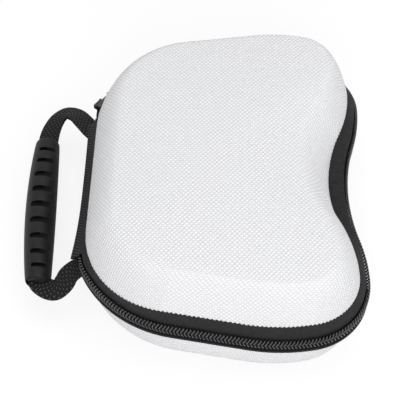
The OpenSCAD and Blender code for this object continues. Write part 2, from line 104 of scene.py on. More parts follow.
def arc_dy(h, r, t):
    return r * (cosd(h - t) - cosd(h))


def half_path(o):
    """The far half of an outline as (radius, turn) pieces; radius 0 is a straight of that length."""
    hc = 90 - CORNER_TURN
    flank = (o[2] - o[1] - arc_dx(90, o[3], CORNER_TURN) - arc_dx(hc, o[4], BACK_TURN)
             - arc_dx(FLANK_SLOPE, o[5], SHOULDER_TURN)
             - arc_dx(-LOBE_START, o[6], 90 - LOBE_START)) / cosd(FLANK_SLOPE)
    top = o[0] / 2
    spine = (top - arc_dy(90, o[3], CORNER_TURN) - arc_dy(hc, o[4], BACK_TURN)
             - flank * sind(FLANK_SLOPE) - arc_dy(FLANK_SLOPE, o[5], FLANK_SLOPE))
    lobe_y = top - o[5] * (1 - cosd(LOBE_START)) + arc_dy(-LOBE_START, o[6], 90 - LOBE_START)
    sweep = 2 * math.degrees(math.atan(o[7] / lobe_y))
    reach = lobe_y / sind(sweep)
    return [(0, spine), (o[3], CORNER_TURN), (o[4], BACK_TURN), (0, flank), (o[5], SHOULDER_TURN),
            (o[6], 90 - LOBE_START), (reach * HIP_SHARE, sweep), (-reach * (1 - HIP_SHARE), -sweep)]


def piece_length(piece):
    return piece[1] if piece[0] == 0 else piece[0] * math.radians(piece[1])


def step_to(q, piece, f):
    """The place and heading a share f along a piece that starts at q."""
    r, t = piece
    if r == 0:
        return (q[0] + t * f * cosd(q[2]), q[1] + t * f * sind(q[2]), q[2])
    return (q[0] + arc_dx(q[2], r, t * f), q[1] + arc_dy(q[2], r, t * f), q[2] - t * f)


def starts(o, path):
    """Where each piece of the path starts, and where the last one ends."""
    places = [(o[1], 0.0, 90.0)]
    for piece in path:
        places.append(step_to(places[-1], piece, 1))
    return places


SEAM_PATH = half_path(SEAM)
SEAM_STARTS = starts(SEAM, SEAM_PATH)
SEAM_MARKS = [sum(piece_length(p) for p in SEAM_PATH[:i]) for i in range(9)]
HALF_LEN = SEAM_MARKS[8]


def steps_for(spacing):
    """How many steps each piece of an outline gets, for places about this far apart."""
    return [max(1, round(piece_length(p) / spacing)) for p in SEAM_PATH]


def ring(o, steps):
    """A closed ring of (x, y, heading) round the outline o, from the middle of the spine."""
    path = half_path(o)
    places = starts(o, path)
    half = [step_to(places[i], path[i], k / n) for i, n in enumerate(steps) for k in range(n)]
    return half + [places[8]] + [(x, -y, 180 - h) for x, y, h in reversed(half[1:])]


def outward(h):
    return (-sind(h), cosd(h))


DIP_REACH = CASE_L * 0.3


def dip_at(x, y):
    """Share of the scoop's drop at a point: 1 at the middle of the scoop, 0 outside it."""
    return 0 if x < 0 or abs(y) > DIP_REACH else cosd(90 * y / DIP_REACH) ** 2


def level(o, steps, z, dip=0.0):
    """The outline's ring as points at height z, lowered by dip in the scoop."""
    return [(x, y, z - dip * dip_at(x, y)) for x, y, _ in ring(o, steps)]


def seam_place(s):
    """The place and heading at distance s along the zip, from the middle of the spine."""
    far = s <= HALF_LEN
    t = s if far else 2 * HALF_LEN - s
    i = max(k for k in range(8) if t >= SEAM_MARKS[k] or k == 0)
    x, y, h = step_to(SEAM_STARTS[i], SEAM_PATH[i], (t - SEAM_MARKS[i]) / piece_length(SEAM_PATH[i]))
    return (x, y, h) if far else (x, -y, 180 - h)


def new_piece(name, points, faces, cloth_uv=None, smooth=True):
    """A mesh object from points in millimetres, with a cloth map in millimetres if it is given."""
    mesh = bpy.data.meshes.new(name)
    mesh.from_pydata([(x * MM, y * MM, z * MM) for x, y, z in points], [], faces)
    if cloth_uv:
        layer = mesh.uv_layers.new(name="cloth")
        for loop in mesh.loops:
            u, v = cloth_uv[loop.vertex_index]
            layer.data[loop.index].uv = (u, v)
    mesh.polygons.foreach_set("use_smooth", [smooth] * len(mesh.polygons))
    piece = bpy.data.objects.new(name, mesh)
    bpy.context.scene.collection.objects.link(piece)
    return piece


def bridge(n, a, b, flip=False, closed=True):
    """Quads between two rows of n points that start at a and b."""
    quads = []
    for i in range(n if closed else n - 1):
        j = (i + 1) % n
        quads.append((a + i, b + i, b + j, a + j) if flip else (a + i, a + j, b + j, b + i))
    return quads


def loft(name, rows, closed=True, cap_ends=False, cloth_uv=None, smooth=True, flip=False):
    """A skin through rows of equal count."""
    n = len(rows[0])
    points = [p for row in rows for p in row]
    faces = [f for k in range(len(rows) - 1) for f in bridge(n, k * n, (k + 1) * n, flip, closed)]
    if cap_ends:
        first, last = tuple(range(n)), tuple(range(len(points) - n, len(points)))
        faces += [first[::-1], last] if not flip else [first, last[::-1]]
    uvs = [uv for row in cloth_uv for uv in row] if cloth_uv else None
    return new_piece(name, points, faces, uvs, smooth)


def select_only(piece):
    bpy.ops.object.select_all(action="DESELECT")
    piece.select_set(True)
    bpy.context.view_layer.objects.active = piece


def tidy_normals(piece):
    """Merges doubles and turns every face outwards."""
    select_only(piece)
    bpy.ops.object.mode_set(mode="EDIT")
    bpy.ops.mesh.select_all(action="SELECT")
    bpy.ops.mesh.remove_doubles(threshold=0.000002)
    bpy.ops.mesh.normals_make_consistent(inside=False)
    bpy.ops.object.mode_set(mode="OBJECT")


def smooth_by_angle(piece, degrees):
    select_only(piece)
    bpy.ops.object.shade_smooth_by_angle(angle=math.radians(degrees))


def apply_modifier(piece, kind, **settings):
    select_only(piece)
    modifier = piece.modifiers.new(kind.title(), kind)
    for key, value in settings.items():
        setattr(modifier, key, value)
    bpy.ops.object.modifier_apply(modifier=modifier.name)


def dress(piece, slot, *materials):
    """Gives a piece its finish. The slot argument, the record's slot that the finish stands for, is not
    used.
    """
    piece.data.materials.clear()
    for material in materials:
        piece.data.materials.append(material)
    return piece


# Materials

def shade(level_255):
    """A screen level from 0 to 255 as a linear value."""
    c = level_255 / 255
    return c / 12.92 if c <= 0.04045 else ((c + 0.055) / 1.055) ** 2.4


class Finish:
    """A material on the principled shader, with short ways to add and join its nodes."""

    def __init__(self, name, roughness, **sockets):
        self.material = bpy.data.materials.new(name)
        self.material.use_nodes = True
        self.tree = self.material.node_tree
        self.shader = self.tree.nodes["Principled BSDF"]
        self.shader.inputs["Roughness"].default_value = roughness
        for socket, value in sockets.items():
            self.shader.inputs[socket.replace("_", " ")].default_value = value

    def add(self, kind, **settings):
        node = self.tree.nodes.new("ShaderNode" + kind)
        for key, value in settings.items():
            setattr(node, key, value)
        return node

    def join(self, source, socket):
        if isinstance(source, (int, float)):
            socket.default_value = source
        else:
            self.tree.links.new(source, socket)

    def sum(self, operation, *values):
        node = self.add("Math", operation=operation)
        for value, socket in zip(values, node.inputs):
            self.join(value, socket)
        return node.outputs[0]

    def cloth_axes(self, across, along):
        """The cloth map's two axes, counted in threads."""
        parts = self.add("SeparateXYZ")
        self.join(self.add("UVMap", uv_map="cloth").outputs[0], parts.inputs[0])
        return (self.sum("DIVIDE", parts.outputs[0], across),
                self.sum("DIVIDE", parts.outputs[1], along))

    def object_axes(self):
        parts = self.add("SeparateXYZ")
        self.join(self.add("TexCoord").outputs["Object"], parts.inputs[0])
        return parts.outputs

    def noise(self, scale, detail=3.0, vector=None):
        node = self.add("TexNoise")
        node.inputs["Scale"].default_value = scale
        node.inputs["Detail"].default_value = detail
        self.join(vector or self.add("TexCoord").outputs["Object"], node.inputs["Vector"])
        return node.outputs["Fac"]

    def ramp(self, factor, stops):
        """A grey ramp: stops are (place, screen level)."""
        node = self.add("ValToRGB")
        while len(node.color_ramp.elements) < len(stops):
            node.color_ramp.elements.new(0.5)
        for element, (place, tone) in zip(node.color_ramp.elements, stops):
            element.position = place
            tones = tone if isinstance(tone, tuple) else (tone, tone, tone)
            element.color = (*[shade(t) for t in tones], 1)
        self.join(factor, node.inputs[0])
        return node.outputs[0]

    def bump(self, height, distance, strength=1.0):
        node = self.add("Bump")
        node.inputs["Distance"].default_value = distance * MM
        node.inputs["Strength"].default_value = strength
        self.join(height, node.inputs["Height"])
        self.join(node.outputs[0], self.shader.inputs["Normal"])

    def colour(self, source):
        self.join(source, self.shader.inputs["Base Color"])


SHELL_THREADS, SHELL_WAVER = (1.05, 1.17), 0.2
LINING_THREAD, WEBBING_YARN = 0.45, 1.25
TAPE_THREADS = (0.55, 0.62)
RIB_RUN, RIB_PITCH = 3.6, 1.6
GRIP_RIB_PITCH, HEM_RIB_PITCH = 1.1, 1.4
BINDING_RIBS = 420


def plain_weave(f, u, v, weft_share=1.0):
    """Height of a plain weave, 0 in the pits to 1, and how far the warp lies on top, -1 to 1."""
    turn_u, turn_v = f.sum("MULTIPLY", u, math.pi), f.sum("MULTIPLY", v, math.pi)
    sin_u, sin_v = f.sum("SINE", turn_u), f.sum("SINE", turn_v)
    over = f.sum("MULTIPLY", sin_u, sin_v)
    round_u, round_v = f.sum("ABSOLUTE", sin_u), f.sum("ABSOLUTE", sin_v)
    warp = f.sum("MULTIPLY", round_u, f.sum("MULTIPLY_ADD", over, 0.5, 0.5))
    under = f.sum("MULTIPLY_ADD", over, -0.5 * weft_share, 0.5 * weft_share)
    weft = f.sum("MULTIPLY", round_v, under)
    return f.sum("MAXIMUM", warp, weft), over


def shell_cloth():
    """Coarse white plain weave, moulded over the foam."""
    f = Finish("white_woven_cloth", 0.7, Specular_IOR_Level=0.25)
    u, v = f.cloth_axes(*SHELL_THREADS)
    u = f.sum("MULTIPLY_ADD", f.noise(150, 2), SHELL_WAVER, u)
    height, over = plain_weave(f, u, v, 0.8)
    # The colour follows the weave: painted highlight on the raised warp floats, painted shade on the
    # weft floats and in the pits; the noise adds tone that differs at random.
    cell = f.sum("MULTIPLY_ADD", over, 0.42, f.sum("MULTIPLY", height, 0.55))
    tone = f.sum("MULTIPLY_ADD", f.noise(900, 1), 0.1, cell)
    f.colour(f.ramp(tone, [(0.0, (201, 201, 204)), (0.35, (223, 223, 225)), (0.85, (239, 239, 240))]))
    f.bump(cell, 0.36)
    return f.material


def lining_cloth():
    f = Finish("grey_lining", 0.85, Specular_IOR_Level=0.2)
    u, v = f.cloth_axes(LINING_THREAD, LINING_THREAD)
    height, _ = plain_weave(f, u, v)
    # The colour follows the weave's height: painted shade in its pits, lighter on the raised threads.
    f.colour(f.ramp(height, [(0.0, 30), (1.0, 56)]))
    f.bump(height, 0.12)
    return f.material


def tape_cloth():
    """Fine ribbed tape: lengthwise threads with a close weft."""
    f = Finish("zip_tape_cloth", 0.75, Specular_IOR_Level=0.18)
    u, v = f.cloth_axes(*TAPE_THREADS)
    height, _ = plain_weave(f, u, v, 0.7)
    # Tone that differs at random, plus the weave's height: painted shade in its pits, lighter on the
    # raised threads.
    tone = f.sum("MULTIPLY_ADD", f.noise(420, 4), 1.1, height)
    f.colour(f.ramp(tone, [(0.3, 8), (1.7, 38)]))
    f.bump(height, 0.14)
    return f.material


def coil_nylon():
    f = Finish("coil_nylon", 0.26, Specular_IOR_Level=0.75)
    f.colour(f.ramp(f.noise(400, 2), [(0.3, 8), (0.75, 18)]))
    f.bump(f.noise(1500, 1), 0.02)
    return f.material


def twill_cloth():
    """Herringbone: slanting ribs that change side every few threads."""
    f = Finish("spine_herringbone", 0.7, Specular_IOR_Level=0.15)
    u, v = f.cloth_axes(1.0, 1.0)
    zig = f.sum("PINGPONG", u, RIB_RUN)
    slant = f.sum("MULTIPLY", f.sum("ADD", v, zig), 2 * math.pi / RIB_PITCH)
    rib = f.sum("MULTIPLY_ADD", f.sum("SINE", slant), 0.5, 0.5)
    # The colour follows the ribs: painted shade in the grooves, painted highlight on the crests; the
    # noise adds tone that differs at random.
    rib_shade_and_tone = f.sum("MULTIPLY_ADD", f.noise(1100, 2), 0.4, rib)
    f.colour(f.ramp(rib_shade_and_tone, [(0.3, 5), (1.15, 52)]))
    f.bump(rib, 0.3)
    return f.material


def webbing_cloth():
    """Coarse basket weave: painted highlights on the nubs where a yarn comes up, painted shade between
    them.
    """
    f = Finish("handle_webbing_cloth", 0.62, Specular_IOR_Level=0.2)
    u, v = f.cloth_axes(WEBBING_YARN, WEBBING_YARN)
    height, over = plain_weave(f, u, v, 0.35)
    # Painted shade low in the weave, painted highlight on the yarn's tops.
    f.colour(f.ramp(height, [(0.2, 2), (0.6, 9), (1.0, 76)]))
    f.bump(height, 0.45)
    return f.material


def grip_rubber(name, dark, light, gloss):
    f = Finish(name, 0.5, Specular_IOR_Level=gloss)
    f.colour(f.ramp(f.noise(120, 4), [(0.3, dark), (0.7, light)]))
    _, y, _ = f.object_axes()
    ribs = f.sum("SINE", f.sum("MULTIPLY", y, 2 * math.pi / (GRIP_RIB_PITCH * MM)))
    f.bump(f.sum("MULTIPLY_ADD", ribs, 0.5, f.noise(2600, 2)), 0.05)
    return f.material


def slider_lacquer():
    """Black lacquer over the cast metal."""
    f = Finish("slider_lacquer", 0.28, Specular_IOR_Level=0.6, Coat_Weight=0.4)
    f.colour(f.ramp(f.noise(300, 3), [(0.3, 14), (0.7, 26)]))
    f.bump(f.noise(1800, 2), 0.02)
    return f.material


def pull_coating():
    f = Finish("pull_coating", 0.36, Specular_IOR_Level=0.4)
    f.colour(f.ramp(f.noise(250, 3), [(0.3, 14), (0.7, 26)]))
    f.bump(f.noise(1600, 2), 0.03)
    return f.material


def binding_cloth():
    """Ribbed binding tape; its ribs stand upright all round."""
    f = Finish("binding_cloth", 0.75, Specular_IOR_Level=0.2)
    x, y, _ = f.object_axes()
    turn = f.sum("ARCTAN2", y, x)
    rib = f.sum("MULTIPLY_ADD", f.sum("SINE", f.sum("MULTIPLY", turn, BINDING_RIBS)), 0.5, 0.5)
    # The colour follows the ribs: painted shade in the grooves, lighter on the crests.
    f.colour(f.ramp(rib, [(0.0, 18), (1.0, 42)]))
    f.bump(rib, 0.12)
    return f.material


def net_yarn():
    f = Finish("net_yarn", 0.65, Specular_IOR_Level=0.2)
    f.colour(f.ramp(f.noise(600, 2), [(0.3, 20), (0.7, 38)]))
    return f.material


def hem_elastic():
    """Gathered elastic: fine ribs across the hem."""
    f = Finish("hem_elastic", 0.7, Specular_IOR_Level=0.2)
    _, y, _ = f.object_axes()
    wave = f.sum("SINE", f.sum("MULTIPLY", y, 2 * math.pi / (HEM_RIB_PITCH * MM)))
    rib = f.sum("MULTIPLY_ADD", wave, 0.5, 0.5)
    # The colour follows the ribs: painted shade in the grooves, lighter on the crests.
    f.colour(f.ramp(rib, [(0.0, 16), (1.0, 48)]))
    f.bump(rib, 0.25)
    return f.material


WHITE_CLOTH = shell_cloth()
LINING = lining_cloth()
TAPE = tape_cloth()
COIL = coil_nylon()
TWILL = twill_cloth()
WEBBING = webbing_cloth()
RUBBER = grip_rubber("grip_rubber", 15, 26, 0.2)
# The slots' rubber is the grip's rubber made darker and duller: painted shade in the finger slots.
SLOT_PAINTED_SHADE_RUBBER = grip_rubber("grip_slot_painted_shade_rubber", 5, 10, 0.1)
LACQUER = slider_lacquer()
COATING = pull_coating()
BINDING = binding_cloth()
NET = net_yarn()
ELASTIC = hem_elastic()

SHELL_STEPS = steps_for(1.9)
CELL_W = 1.02
TAPE_STEPS = steps_for(CELL_W)


# Shells

def shoulder(v, roundness):
    """Height share v of a wall to its share of the inset."""
    return 1 - (1 - min(v, 1) ** roundness) ** (1 / roundness)


def toward(row, f, rise):
    """A row drawn in towards the cap's middle, with the crown's rise."""
    return [(CAP_X + (x - CAP_X) * f, y * f, z + rise * (1 - f * f)) for x, y, z in row]


def spread_map(rows, edge_at, edge_normals):
    """A cloth map laid flat on the cap and carried straight down the walls from its edge."""
    maps = []
    for k, row in enumerate(rows):
        if k <= edge_at:
            maps.append([(x, y) for x, y, _ in row])
            fall = [0.0] * len(row)
            continue
        above = rows[k - 1]
        fall = [d + math.dist(p, q) for d, p, q in zip(fall, above, row)]
        maps.append([(e[0] + n[0] * d, e[1] + n[1] * d)
                     for e, n, d in zip(rows[edge_at], edge_normals, fall)])
    return maps


# How far the cloth runs on behind the tape, and where a shell's rows lie: shares of the
# wall's height, closer together at the shoulder, and of the cap's reach.
RIM_LAP = 1.0
WALL_SHARES = [1 - (1 - k / 18) ** 1.7 for k in range(19)]
CAP_SHARES = [0.02, 0.25, 0.5, 0.7, 0.85, 0.95]


def half_shell(name, rim, edge, rim_z, edge_z, lean, rise, dip, thick):
    """A moulded half: cap, rounded shoulder and wall outside, and the lining inside."""
    side = 1 if edge_z > rim_z else -1
    height = edge_z - rim_z
    top = level(edge, SHELL_STEPS, edge_z)
    outer = [toward(top, f, rise) for f in CAP_SHARES]
    edge_at = len(outer)
    outer += [level(between(rim, edge, lean(v)), SHELL_STEPS, rim_z + v * height, dip * (1 - v))
              for v in reversed(WALL_SHARES)]
    outer.append(level(rim, SHELL_STEPS, rim_z - side * RIM_LAP, dip))
    under = level(stand_in(edge, WALL), SHELL_STEPS, edge_z - side * WALL)
    inner = [level(stand_in(between(rim, edge, lean(v)), thick + (WALL - thick) * v), SHELL_STEPS,
                   rim_z + v * (height - side * WALL), dip * (1 - v)) for v in WALL_SHARES[::2]]
    inner += [toward(under, f, rise) for f in reversed(CAP_SHARES)]
    rows = outer + inner
    normals = [outward(h) for _, _, h in ring(edge, SHELL_STEPS)]
    maps = spread_map(rows, edge_at, normals)
    piece = loft(name, rows, cap_ends=True, cloth_uv=maps, flip=side < 0)
    dress(piece, "shell_fabric", WHITE_CLOTH, LINING)
    lining_from = len(outer) * len(top)
    for face in piece.data.polygons:
        face.material_index = 1 if max(face.vertices) >= lining_from else 0
    return piece


def lid_lean(v):
    return LID_TAPER * v + (1 - LID_TAPER) * shoulder(v, LID_ROUND)


def base_lean(v):
    return shoulder(v, BASE_ROUND)


def make_shells():
    lid = half_shell("lid_shell", CLOTH_RIM, CLOTH_EDGE, ZIP_Z + UPPER_TAPE_H,
                     ZIP_Z + LID_H - CROWN, lid_lean, CROWN, TAPE_DIP, LID_RIM_WALL)
    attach(lid, "lid")
    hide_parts("upper_shell")
    base = half_shell("base_shell", LOWER_RIM, BASE_EDGE, ZIP_Z - LOWER_TAPE_H, 0,
                      base_lean, 0, 0, WALL)
    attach(base, "base")
    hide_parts("lower_shell")


# Zip tapes

TAPE_SEAT = stand_in(SEAM, TOOTH_OUT + SEAM_GAP)
TAPE_PROUD, ROLL_STOP = 0.25, 0.3
# The sliders are parked up to here, measured along the zip from the middle of the spine.
PARKED_TO = 74.49
ZIP_START = SEAM_MARKS[1] + 0.4
ZIP_END = 2 * HALF_LEN - ZIP_START
CELL_TOOTH = 0.5


def straight_in(place, line):
    """Where a line straight in from a place on the seam meets the closed line of points."""
    x, y, h = place
    nx, ny = outward(h)
    best = None
    for (ax, ay, _), (bx, by, _) in zip(line, line[1:] + line[:1]):
        a, b = (ax - x) * ny - (ay - y) * nx, (bx - x) * ny - (by - y) * nx
        if a * b > 0 or a == b:
            continue
        f = a / (a - b)
        px, py = ax + (bx - ax) * f, ay + (by - ay) * f
        far = math.dist((px, py), (x, y))
        if best is None or far < best[0]:
            best = (far, px, py)
    return best[1:]


def zip_tape(name, side, rim, rim_h, dip, parked):
    """A tape that stands upright behind the coil and leans to the shell. The cells of the
    shell's weave step the upper one's edge. The lower one rolls out under the coil."""
    steps = TAPE_STEPS
    first, count = steps[0], 2 * sum(steps)
    outlines = {"seat": TAPE_SEAT, "seat_in": stand_in(TAPE_SEAT, TAPE_T),
                "rim": stand_in(rim, -TAPE_PROUD), "rim_in": stand_in(rim, TAPE_T),
                "roll": stand_in(TAPE_SEAT, -ROLL_OUT)}
    rings = {key: ring(o, steps) for key, o in outlines.items()}
    for key in ("rim", "rim_in"):
        rings[key] = [straight_in(place, rings[key]) for place in rings["seat"]]
    rows, maps = [], []
    along = 0.0
    for i in range(first - 1, count - first + 2):
        j = i % count
        x, y, _ = rings["seat"][j]
        if rows:
            along += math.dist((x, y), last)
        last = (x, y)
        foot = RAISE_Z if along < parked else ROW_GAP / 2
        cell = 0 if side < 0 else CELL_TOOTH if i % 2 else -CELL_TOOTH
        top = rim_h - dip * dip_at(*rings["rim"][j][:2]) + cell
        if side > 0:
            section = [("seat", foot), ("seat", KNEE_Z), ("rim", top), ("rim_in", top),
                       ("seat_in", KNEE_Z), ("seat_in", foot)]
        else:
            section = [("seat", foot), ("seat", RAISE_Z), ("roll", RAISE_Z), ("roll", top - ROLL_STOP),
                       ("rim", top), ("rim_in", top), ("seat_in", KNEE_Z), ("seat_in", foot)]
        points = [(*rings[key][j][:2], ZIP_Z + side * h) for key, h in section]
        down = [0.0]
        for p, q in zip(points, points[1:]):
            down.append(down[-1] + math.dist(p, q))
        rows.append(points)
        maps.append([(along, d) for d in down])
    piece = loft(name, rows, cap_ends=True, cloth_uv=maps, flip=side > 0)
    smooth_by_angle(piece, 40)
    return dress(piece, "zip_tape", TAPE)


def make_tapes():
    upper = zip_tape("lid_zip_tape", 1, CLOTH_RIM, UPPER_TAPE_H - SEAM_GAP, TAPE_DIP,
                     PARKED_TO - SEAM_MARKS[1])
    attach(upper, "lid")
    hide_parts("upper_zip_tape")
    lower = zip_tape("base_zip_tape", -1, LOWER_RIM, LOWER_TAPE_H - SEAM_GAP, 0, 0)
    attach(lower, "base")
    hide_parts("lower_zip_tape")


# Coils

# The wire's radius, how far the rows reach into each other, and how far a turn leans.
COIL_PITCH, COIL_WIRE, COIL_LAP, COIL_TILT = 1.65, 0.4, 0.25, 0.2
COIL_SQUARE, ROW_START = 0.72, 0.36
COIL_STEPS, WIRE_SIDES = 14, 6


def squared(a):
    """A sine or cosine drawn out, so that a turn of the coil is squarer than a circle."""
    return math.copysign(abs(a) ** COIL_SQUARE, a)


def coil_row(name, s0, s1, side, phase):
    """One row of the closed zip: a flattened helix of nylon whose turns reach past the
    middle line, between those of the other row."""
    turns = int((s1 - s0) / COIL_PITCH - 2 * COIL_TILT - phase)
    reach_in, reach_out = ROW_START - COIL_LAP, ROW_H + ROW_GAP / 2 - COIL_WIRE
    mid_z, half_z = (reach_in + reach_out) / 2, (reach_out - reach_in) / 2
    mid_r, half_r = -TOOTH_OUT / 2 - 0.1, TOOTH_OUT / 2 - COIL_WIRE
    route = []
    for k in range(turns * COIL_STEPS + 1):
        turn = k / COIL_STEPS
        a = -2 * math.pi * turn
        c, n = squared(math.cos(a)), squared(math.sin(a))
        x, y, h = seam_place(s0 + (turn + phase + COIL_TILT * (1 - n)) * COIL_PITCH)
        ox, oy = outward(h)
        r = mid_r + half_r * c
        route.append(Vector((x + ox * r, y + oy * r, ZIP_Z + side * (mid_z + half_z * n))))
    rows = []
    for k, p in enumerate(route):
        run = (route[min(k + 1, len(route) - 1)] - route[max(k - 1, 0)]).normalized()
        a = run.orthogonal().normalized() if k == 0 else (a - run * a.dot(run)).normalized()
        b = run.cross(a)
        rows.append([p + (a * math.cos(t) + b * math.sin(t)) * COIL_WIRE
                     for t in (2 * math.pi * i / WIRE_SIDES for i in range(WIRE_SIDES))])
    return dress(loft(name, rows, cap_ends=True), "zip_coil", COIL)


def make_coils():
    upper = coil_row("lid_zip_coil", PARKED_TO, ZIP_END, 1, 0.0)
    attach(upper, "lid")
    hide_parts("upper_zip_teeth")
    lower = coil_row("base_zip_coil", ZIP_START, ZIP_END, -1, 0.5)
    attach(lower, "base")
    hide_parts("lower_zip_teeth")


# Spine

SPINE_FACE = SPINE_X - 0.8
SPINE_T, SPINE_LAP = 1.0, 0.6


def spine_reach(o):
    return half_path(o)[0][1] - 0.4


SPINE_HALF = spine_reach(TAPE_SEAT)


def fold_bow(y):
    """How far the fold sags out of its line: most at the near end, where the strap pulls it."""
    return 0.9 + (2.3 if y < 0 else 0.5) * (abs(y) / SPINE_HALF) ** 2.5


def make_spine():
    """One herringbone band from rim to rim, folded at the zip's height."""
    rims = {1: (ring(CLOTH_RIM, TAPE_STEPS), UPPER_TAPE_H),
            -1: (ring(LOWER_RIM, TAPE_STEPS), LOWER_TAPE_H)}
    across, rise_steps, half = 84, 28, SPINE_HALF + SPINE_LAP
    band_h = LOWER_TAPE_H + UPPER_TAPE_H - 2 * SEAM_GAP
    heights = [-LOWER_TAPE_H + SEAM_GAP + k * band_h / rise_steps for k in range(rise_steps + 1)]
    front, back, maps = [], [], []
    for z in heights:
        line, span = rims[1 if z > 0 else -1]
        share = abs(z) / span
        lean = 1 - (1 - share) ** 2.2
        row = []
        for k in range(across + 1):
            y = (2 * k / across - 1) * half
            rim_x = straight_in((SPINE_X, y, 90), line)[0] - 0.2
            step = (CELL_TOOTH if k % 2 else -CELL_TOOTH) if abs(z - heights[-1]) < 0.01 else 0
            fold_x = SPINE_FACE - fold_bow(y)
            row.append((fold_x + (rim_x - fold_x) * lean, y, ZIP_Z + z + step))
        front.append(row)
        back.append([(x + SPINE_T, y, z2) for x, y, z2 in row])
        maps.append([(z, y) for _, y, _ in row])
    rows = [f + b[::-1] for f, b in zip(front, back)]
    band = loft("spine_band", rows, cap_ends=True, cloth_uv=[m + m[::-1] for m in maps])
    tidy_normals(band)
    smooth_by_angle(band, 50)
    dress(band, "spine_twill", TWILL)
    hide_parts("spine_tape_upper", "spine_tape_lower")
    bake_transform(band)


# Handle

GRIP_L, GRIP_D, GRIP_END_D = 85.2, 15.2, 12.2
GRIP_OUT, GRIP_DROP = 19, 15
GRIP_X, GRIP_Z = SPINE_FACE - GRIP_OUT, ZIP_Z - GRIP_DROP
WEB_W, WEB_T = 10.0, 1.8
BORE_W, BORE_H = 10.8, 4.6
ROOT_X = LOWER_RIM[1] - 2 * SEAM_GAP
ROOT_Z = ZIP_Z - LOWER_TAPE_H - WEB_T / 2 - 2 * SEAM_GAP
GRIP_Y, GRIP_ASKEW = -2.4, 4.2
# The finger slots' places along the grip from its middle, and their size at the middle.
SLOT_PLACES = (-36.0, -28.4, -19.6, -10.3, -0.9, 8.5, 17.8, 26.6, 34.2)
SLOT_W, SLOT_L, SLOT_DEPTH, SLOT_ASIDE = 3.4, 10.6, 2.2, 1


def grip_axis(y):
    """The grip hangs a little askew: how far out its axis lies at distance y along it."""
    t = min(1, max(0, (y - GRIP_Y) / GRIP_L + 0.5))
    return GRIP_X - GRIP_ASKEW * (1 - (1 - t) ** 2)


# The webbing's middle line from the far root to the near one, with its lean from upright:
# 90 is flat, and less where a bend lifts the inner edge.
WEB_LINE = [
    (ROOT_X, SPINE_HALF + 0.2, ROOT_Z, 90), (ROOT_X - 4.2, SPINE_HALF + 3.6, ROOT_Z, 88),
    (-73.1, 50.0, 24.8, 84), (-77.2, 55.0, 23.8, 78), (-82.3, 57.6, 22.4, 72), (-86.6, 55.6, 21.0, 70),
    (-89.2, 51.2, 19.8, 76), (-90.6, 46.4, 18.8, 84), (-91.1, 42.0, 18.2, 90),
    (grip_axis(36), 36, GRIP_Z, 90), (grip_axis(15), 15, GRIP_Z, 90), (grip_axis(-15), -15, GRIP_Z, 90),
    (grip_axis(-36), -36, GRIP_Z, 90), (grip_axis(-43), -42.5, GRIP_Z - 0.1, 86),
    (-85.7, -45.3, 17.7, 74), (-81.9, -47.7, 17.6, 66), (-78.2, -48.4, 18.4, 64),
    (-74.8, -46.4, 20.4, 68), (-72.0, -42.8, 22.8, 78), (ROOT_X - 4.6, -SPINE_HALF - 0.6, 24.9, 86),
    (ROOT_X, -SPINE_HALF + 1.6, ROOT_Z, 90)]


def curve_at(a, b, c, d, t):
    return tuple(0.5 * (2 * q + (r - p) * t + (2 * p - 5 * q + 4 * r - s) * t * t
                        + (3 * q - p - 3 * r + s) * t ** 3) for p, q, r, s in zip(a, b, c, d))


def make_webbing():
    last = len(WEB_LINE) - 1
    route = [curve_at(WEB_LINE[max(0, i - 1)], WEB_LINE[i], WEB_LINE[i + 1],
                      WEB_LINE[min(i + 2, last)], k / 8) for i in range(last) for k in range(8)]
    route.append(WEB_LINE[last])
    under = [(-1, -0.5), (-0.94, -0.92), (-0.85, -1), (-0.4, -1), (0, -1), (0.4, -1), (0.85, -1),
             (0.94, -0.92), (1, -0.5)]
    section = under + [(-p, -q) for p, q in under]
    rows, maps = [], []
    along = 0.0
    for i, (x, y, z, lean) in enumerate(route):
        a, b = route[max(0, i - 1)], route[min(len(route) - 1, i + 1)]
        along += math.dist(route[max(0, i - 1)][:3], (x, y, z))
        run = Vector((b[0] - a[0], b[1] - a[1], 0)).normalized()
        side = Vector((-run.y, run.x, 0))
        wide = side * sind(lean) + Vector((0, 0, cosd(lean)))
        thin = side * cosd(lean) - Vector((0, 0, sind(lean)))
        rows.append([Vector((x, y, z)) + wide * (p * WEB_W / 2) + thin * (q * WEB_T / 2)
                     for p, q in section])
        maps.append([(along, p * WEB_W / 2) for p, _ in section])
    piece = loft("handle_strap", rows, cap_ends=True, cloth_uv=maps, flip=True)
    smooth_by_angle(piece, 35)
    dress(piece, "webbing", WEBBING)
    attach(piece, "base")
    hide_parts("handle_webbing")


def barrel_radius(y):
    """The grip's radius at distance y from its middle."""
    sag = (GRIP_D - GRIP_END_D) / 2
    r = ((GRIP_L / 2) ** 2 + sag * sag) / (2 * sag)
    return GRIP_D / 2 - r + math.sqrt(r * r - y * y)


